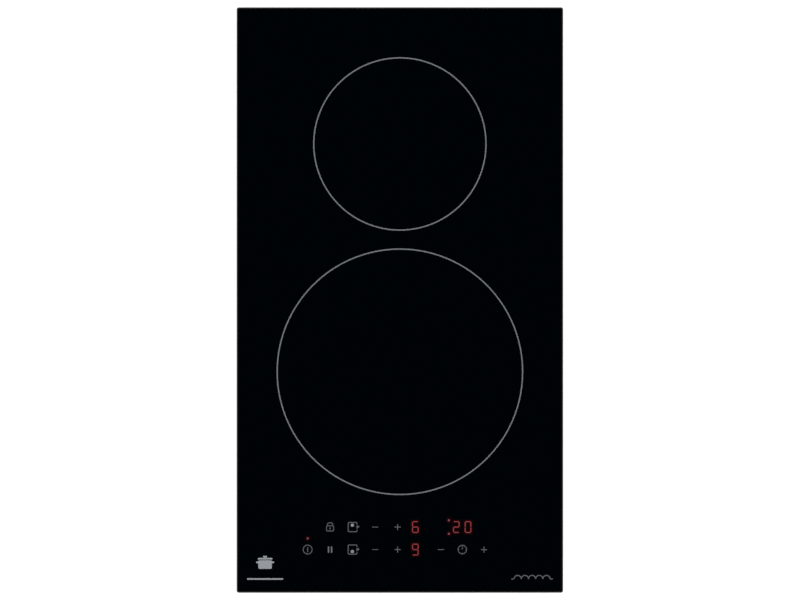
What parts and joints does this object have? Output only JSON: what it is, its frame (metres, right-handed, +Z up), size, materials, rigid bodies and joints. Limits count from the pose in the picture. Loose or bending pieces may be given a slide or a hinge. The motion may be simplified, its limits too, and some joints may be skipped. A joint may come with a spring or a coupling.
{
  "type": "built-in induction cooktop",
  "caption": "Narrow built-in induction cooktop: black glass with printed cooking zones and touch controls over a sheet-metal case with coils, blower and power board inside.",
  "frame": {"origin": "centre of the glass in plan, at the worktop's upper face, where the underside of the seal rests", "axes": "+Z up, -Y towards the user (the controls' side), +X to the user's right"},
  "size_m": [0.29, 0.52, 0.0541],
  "materials": {
    "black_glass": "polished, ground facet at the edge",
    "print_ink": "matt screen print",
    "display_light": "lit",
    "seal_foam": "closed-cell foam",
    "silicone": "cured bead",
    "galvanised_sheet": "galvanised",
    "frame_paint": "black powder coat",
    "zinc_screw": "zinc plated",
    "support_aluminium": "mill finish",
    "litz_copper": "enamelled copper strands",
    "mica": "pressed mica sheet",
    "ferrite": "sintered",
    "carrier_plastic": "glass-filled moulding",
    "sensor_rubber": "silicone cap",
    "spring_steel": "drawn wire",
    "lead_sleeve": "glass-fibre sleeve",
    "circuit_board": "solder mask",
    "holder_plastic": "moulded",
    "display_case": "cast",
    "ribbon_plastic": "flat cable",
    "blower_plastic": "moulded",
    "impeller_plastic": "moulded",
    "bush_bronze": "sintered",
    "stator_steel": "laminated",
    "shaft_steel": "ground",
    "magnet": "bonded",
    "sink_aluminium": "extruded",
    "package_epoxy": "moulded package",
    "choke_core": "coated ring core with copper wire",
    "film_case": "cast case",
    "can_sleeve": "shrink sleeve",
    "transformer_core": "ferrite with yellow tape",
    "relay_case": "moulded",
    "socket_plastic": "moulded",
    "wire_sleeve": "stranded wire in coloured sleeves",
    "terminal_plastic": "moulded",
    "block_plastic": "moulded",
    "gland_rubber": "moulded",
    "cover_plastic": "moulded",
    "clamp_steel": "zinc plated"
  },
  "bodies": {
    "case": {"glass_plate": "black_glass", "glass_print": "print_ink", "lit_digits": "display_light", "worktop_seal": "seal_foam", "bonding_bead": "silicone", "glass_frame": "frame_paint", "base_tray": "galvanised_sheet", "case_screws": "zinc_screw", "inner_screws": "zinc_screw", "support_pillars": "zinc_screw", "terminal_screws": "zinc_screw", "support_plate": "support_aluminium", "front_coil_springs": "spring_steel", "rear_coil_springs": "spring_steel", "control_springs": "spring_steel", "transistor_clip": "spring_steel", "front_coil_leads": "lead_sleeve", "rear_coil_leads": "lead_sleeve", "power_board": "circuit_board", "board_holder": "holder_plastic", "ribbon_cable": "ribbon_plastic", "blower_housing": "blower_plastic", "blower_cover": "blower_plastic", "fan_bearing": "bush_bronze", "fan_stator": "stator_steel", "heat_sink": "sink_aluminium", "power_transistors": "package_epoxy", "filter_choke": "choke_core", "film_capacitors": "film_case", "electrolytic_capacitors": "can_sleeve", "supply_transformer": "transformer_core", "board_relay": "relay_case", "board_sockets": "socket_plastic", "inner_wires": "wire_sleeve", "terminal_housing": "terminal_plastic", "terminal_block": "block_plastic", "cord_clamp": "block_plastic", "cable_gland": "gland_rubber"},
    "front_coil": {"front_winding": "litz_copper", "front_insulator": "mica", "front_ferrites": "ferrite", "front_coil_carrier": "carrier_plastic", "front_temperature_sensor": "sensor_rubber"},
    "rear_coil": {"rear_winding": "litz_copper", "rear_insulator": "mica", "rear_ferrites": "ferrite", "rear_coil_carrier": "carrier_plastic", "rear_temperature_sensor": "sensor_rubber"},
    "control_unit": {"control_board": "circuit_board", "control_holder": "holder_plastic", "display_modules": "display_case", "touch_springs": "spring_steel"},
    "fan_rotor": {"fan_impeller": "impeller_plastic", "fan_magnet": "magnet", "fan_shaft": "shaft_steel"},
    "front_clamp_lifter": {"front_clamp_screw": "clamp_steel"},
    "front_clamp": {"front_clamp_arm": "clamp_steel"},
    "rear_clamp_lifter": {"rear_clamp_screw": "clamp_steel"},
    "rear_clamp": {"rear_clamp_arm": "clamp_steel"},
    "bay_cover": {"terminal_cover": "cover_plastic"}
  },
  "joints": [
    {"name": "fan_spin", "type": "hinge", "parent": "case", "child": "fan_rotor", "pos_m": [-0.0674, 0.16, -0.035], "axis": [0, 0, 1], "continuous": true},
    {"name": "front_coil_float", "type": "slide", "parent": "case", "child": "front_coil", "axis": [0, 0, 1], "range_m": [-0.003, 0], "stiffness_N_per_m": 1800, "springref_m": 0.007, "deforming": ["front_coil_springs", "front_coil_leads"]},
    {"name": "rear_coil_float", "type": "slide", "parent": "case", "child": "rear_coil", "axis": [0, 0, 1], "range_m": [-0.003, 0], "stiffness_N_per_m": 1500, "springref_m": 0.006, "deforming": ["rear_coil_springs", "rear_coil_leads"]},
    {"name": "control_float", "type": "slide", "parent": "case", "child": "control_unit", "axis": [0, 0, 1], "range_m": [-0.002, 0], "stiffness_N_per_m": 900, "springref_m": 0.006, "deforming": ["control_springs", "ribbon_cable"]},
    {"name": "front_clamp_lift", "type": "slide", "parent": "case", "child": "front_clamp_lifter", "axis": [0, 0, 1], "range_m": [0, 0.01]},
    {"name": "front_clamp_swivel", "type": "hinge", "parent": "front_clamp_lifter", "child": "front_clamp", "pos_m": [-0.008, -0.2308, -0.043], "axis": [0, 0, -1], "range_deg": [0, 90]},
    {"name": "rear_clamp_lift", "type": "slide", "parent": "case", "child": "rear_clamp_lifter", "axis": [0, 0, 1], "range_m": [0, 0.01]},
    {"name": "rear_clamp_swivel", "type": "hinge", "parent": "rear_clamp_lifter", "child": "rear_clamp", "pos_m": [0.008, 0.2308, -0.043], "axis": [0, 0, -1], "range_deg": [0, 90]},
    {"name": "terminal_cover_hinge", "type": "hinge", "parent": "case", "child": "bay_cover", "pos_m": [0.092, 0.1892, -0.046], "axis": [-1, 0, 0], "range_deg": [0, 95]}
  ]
}
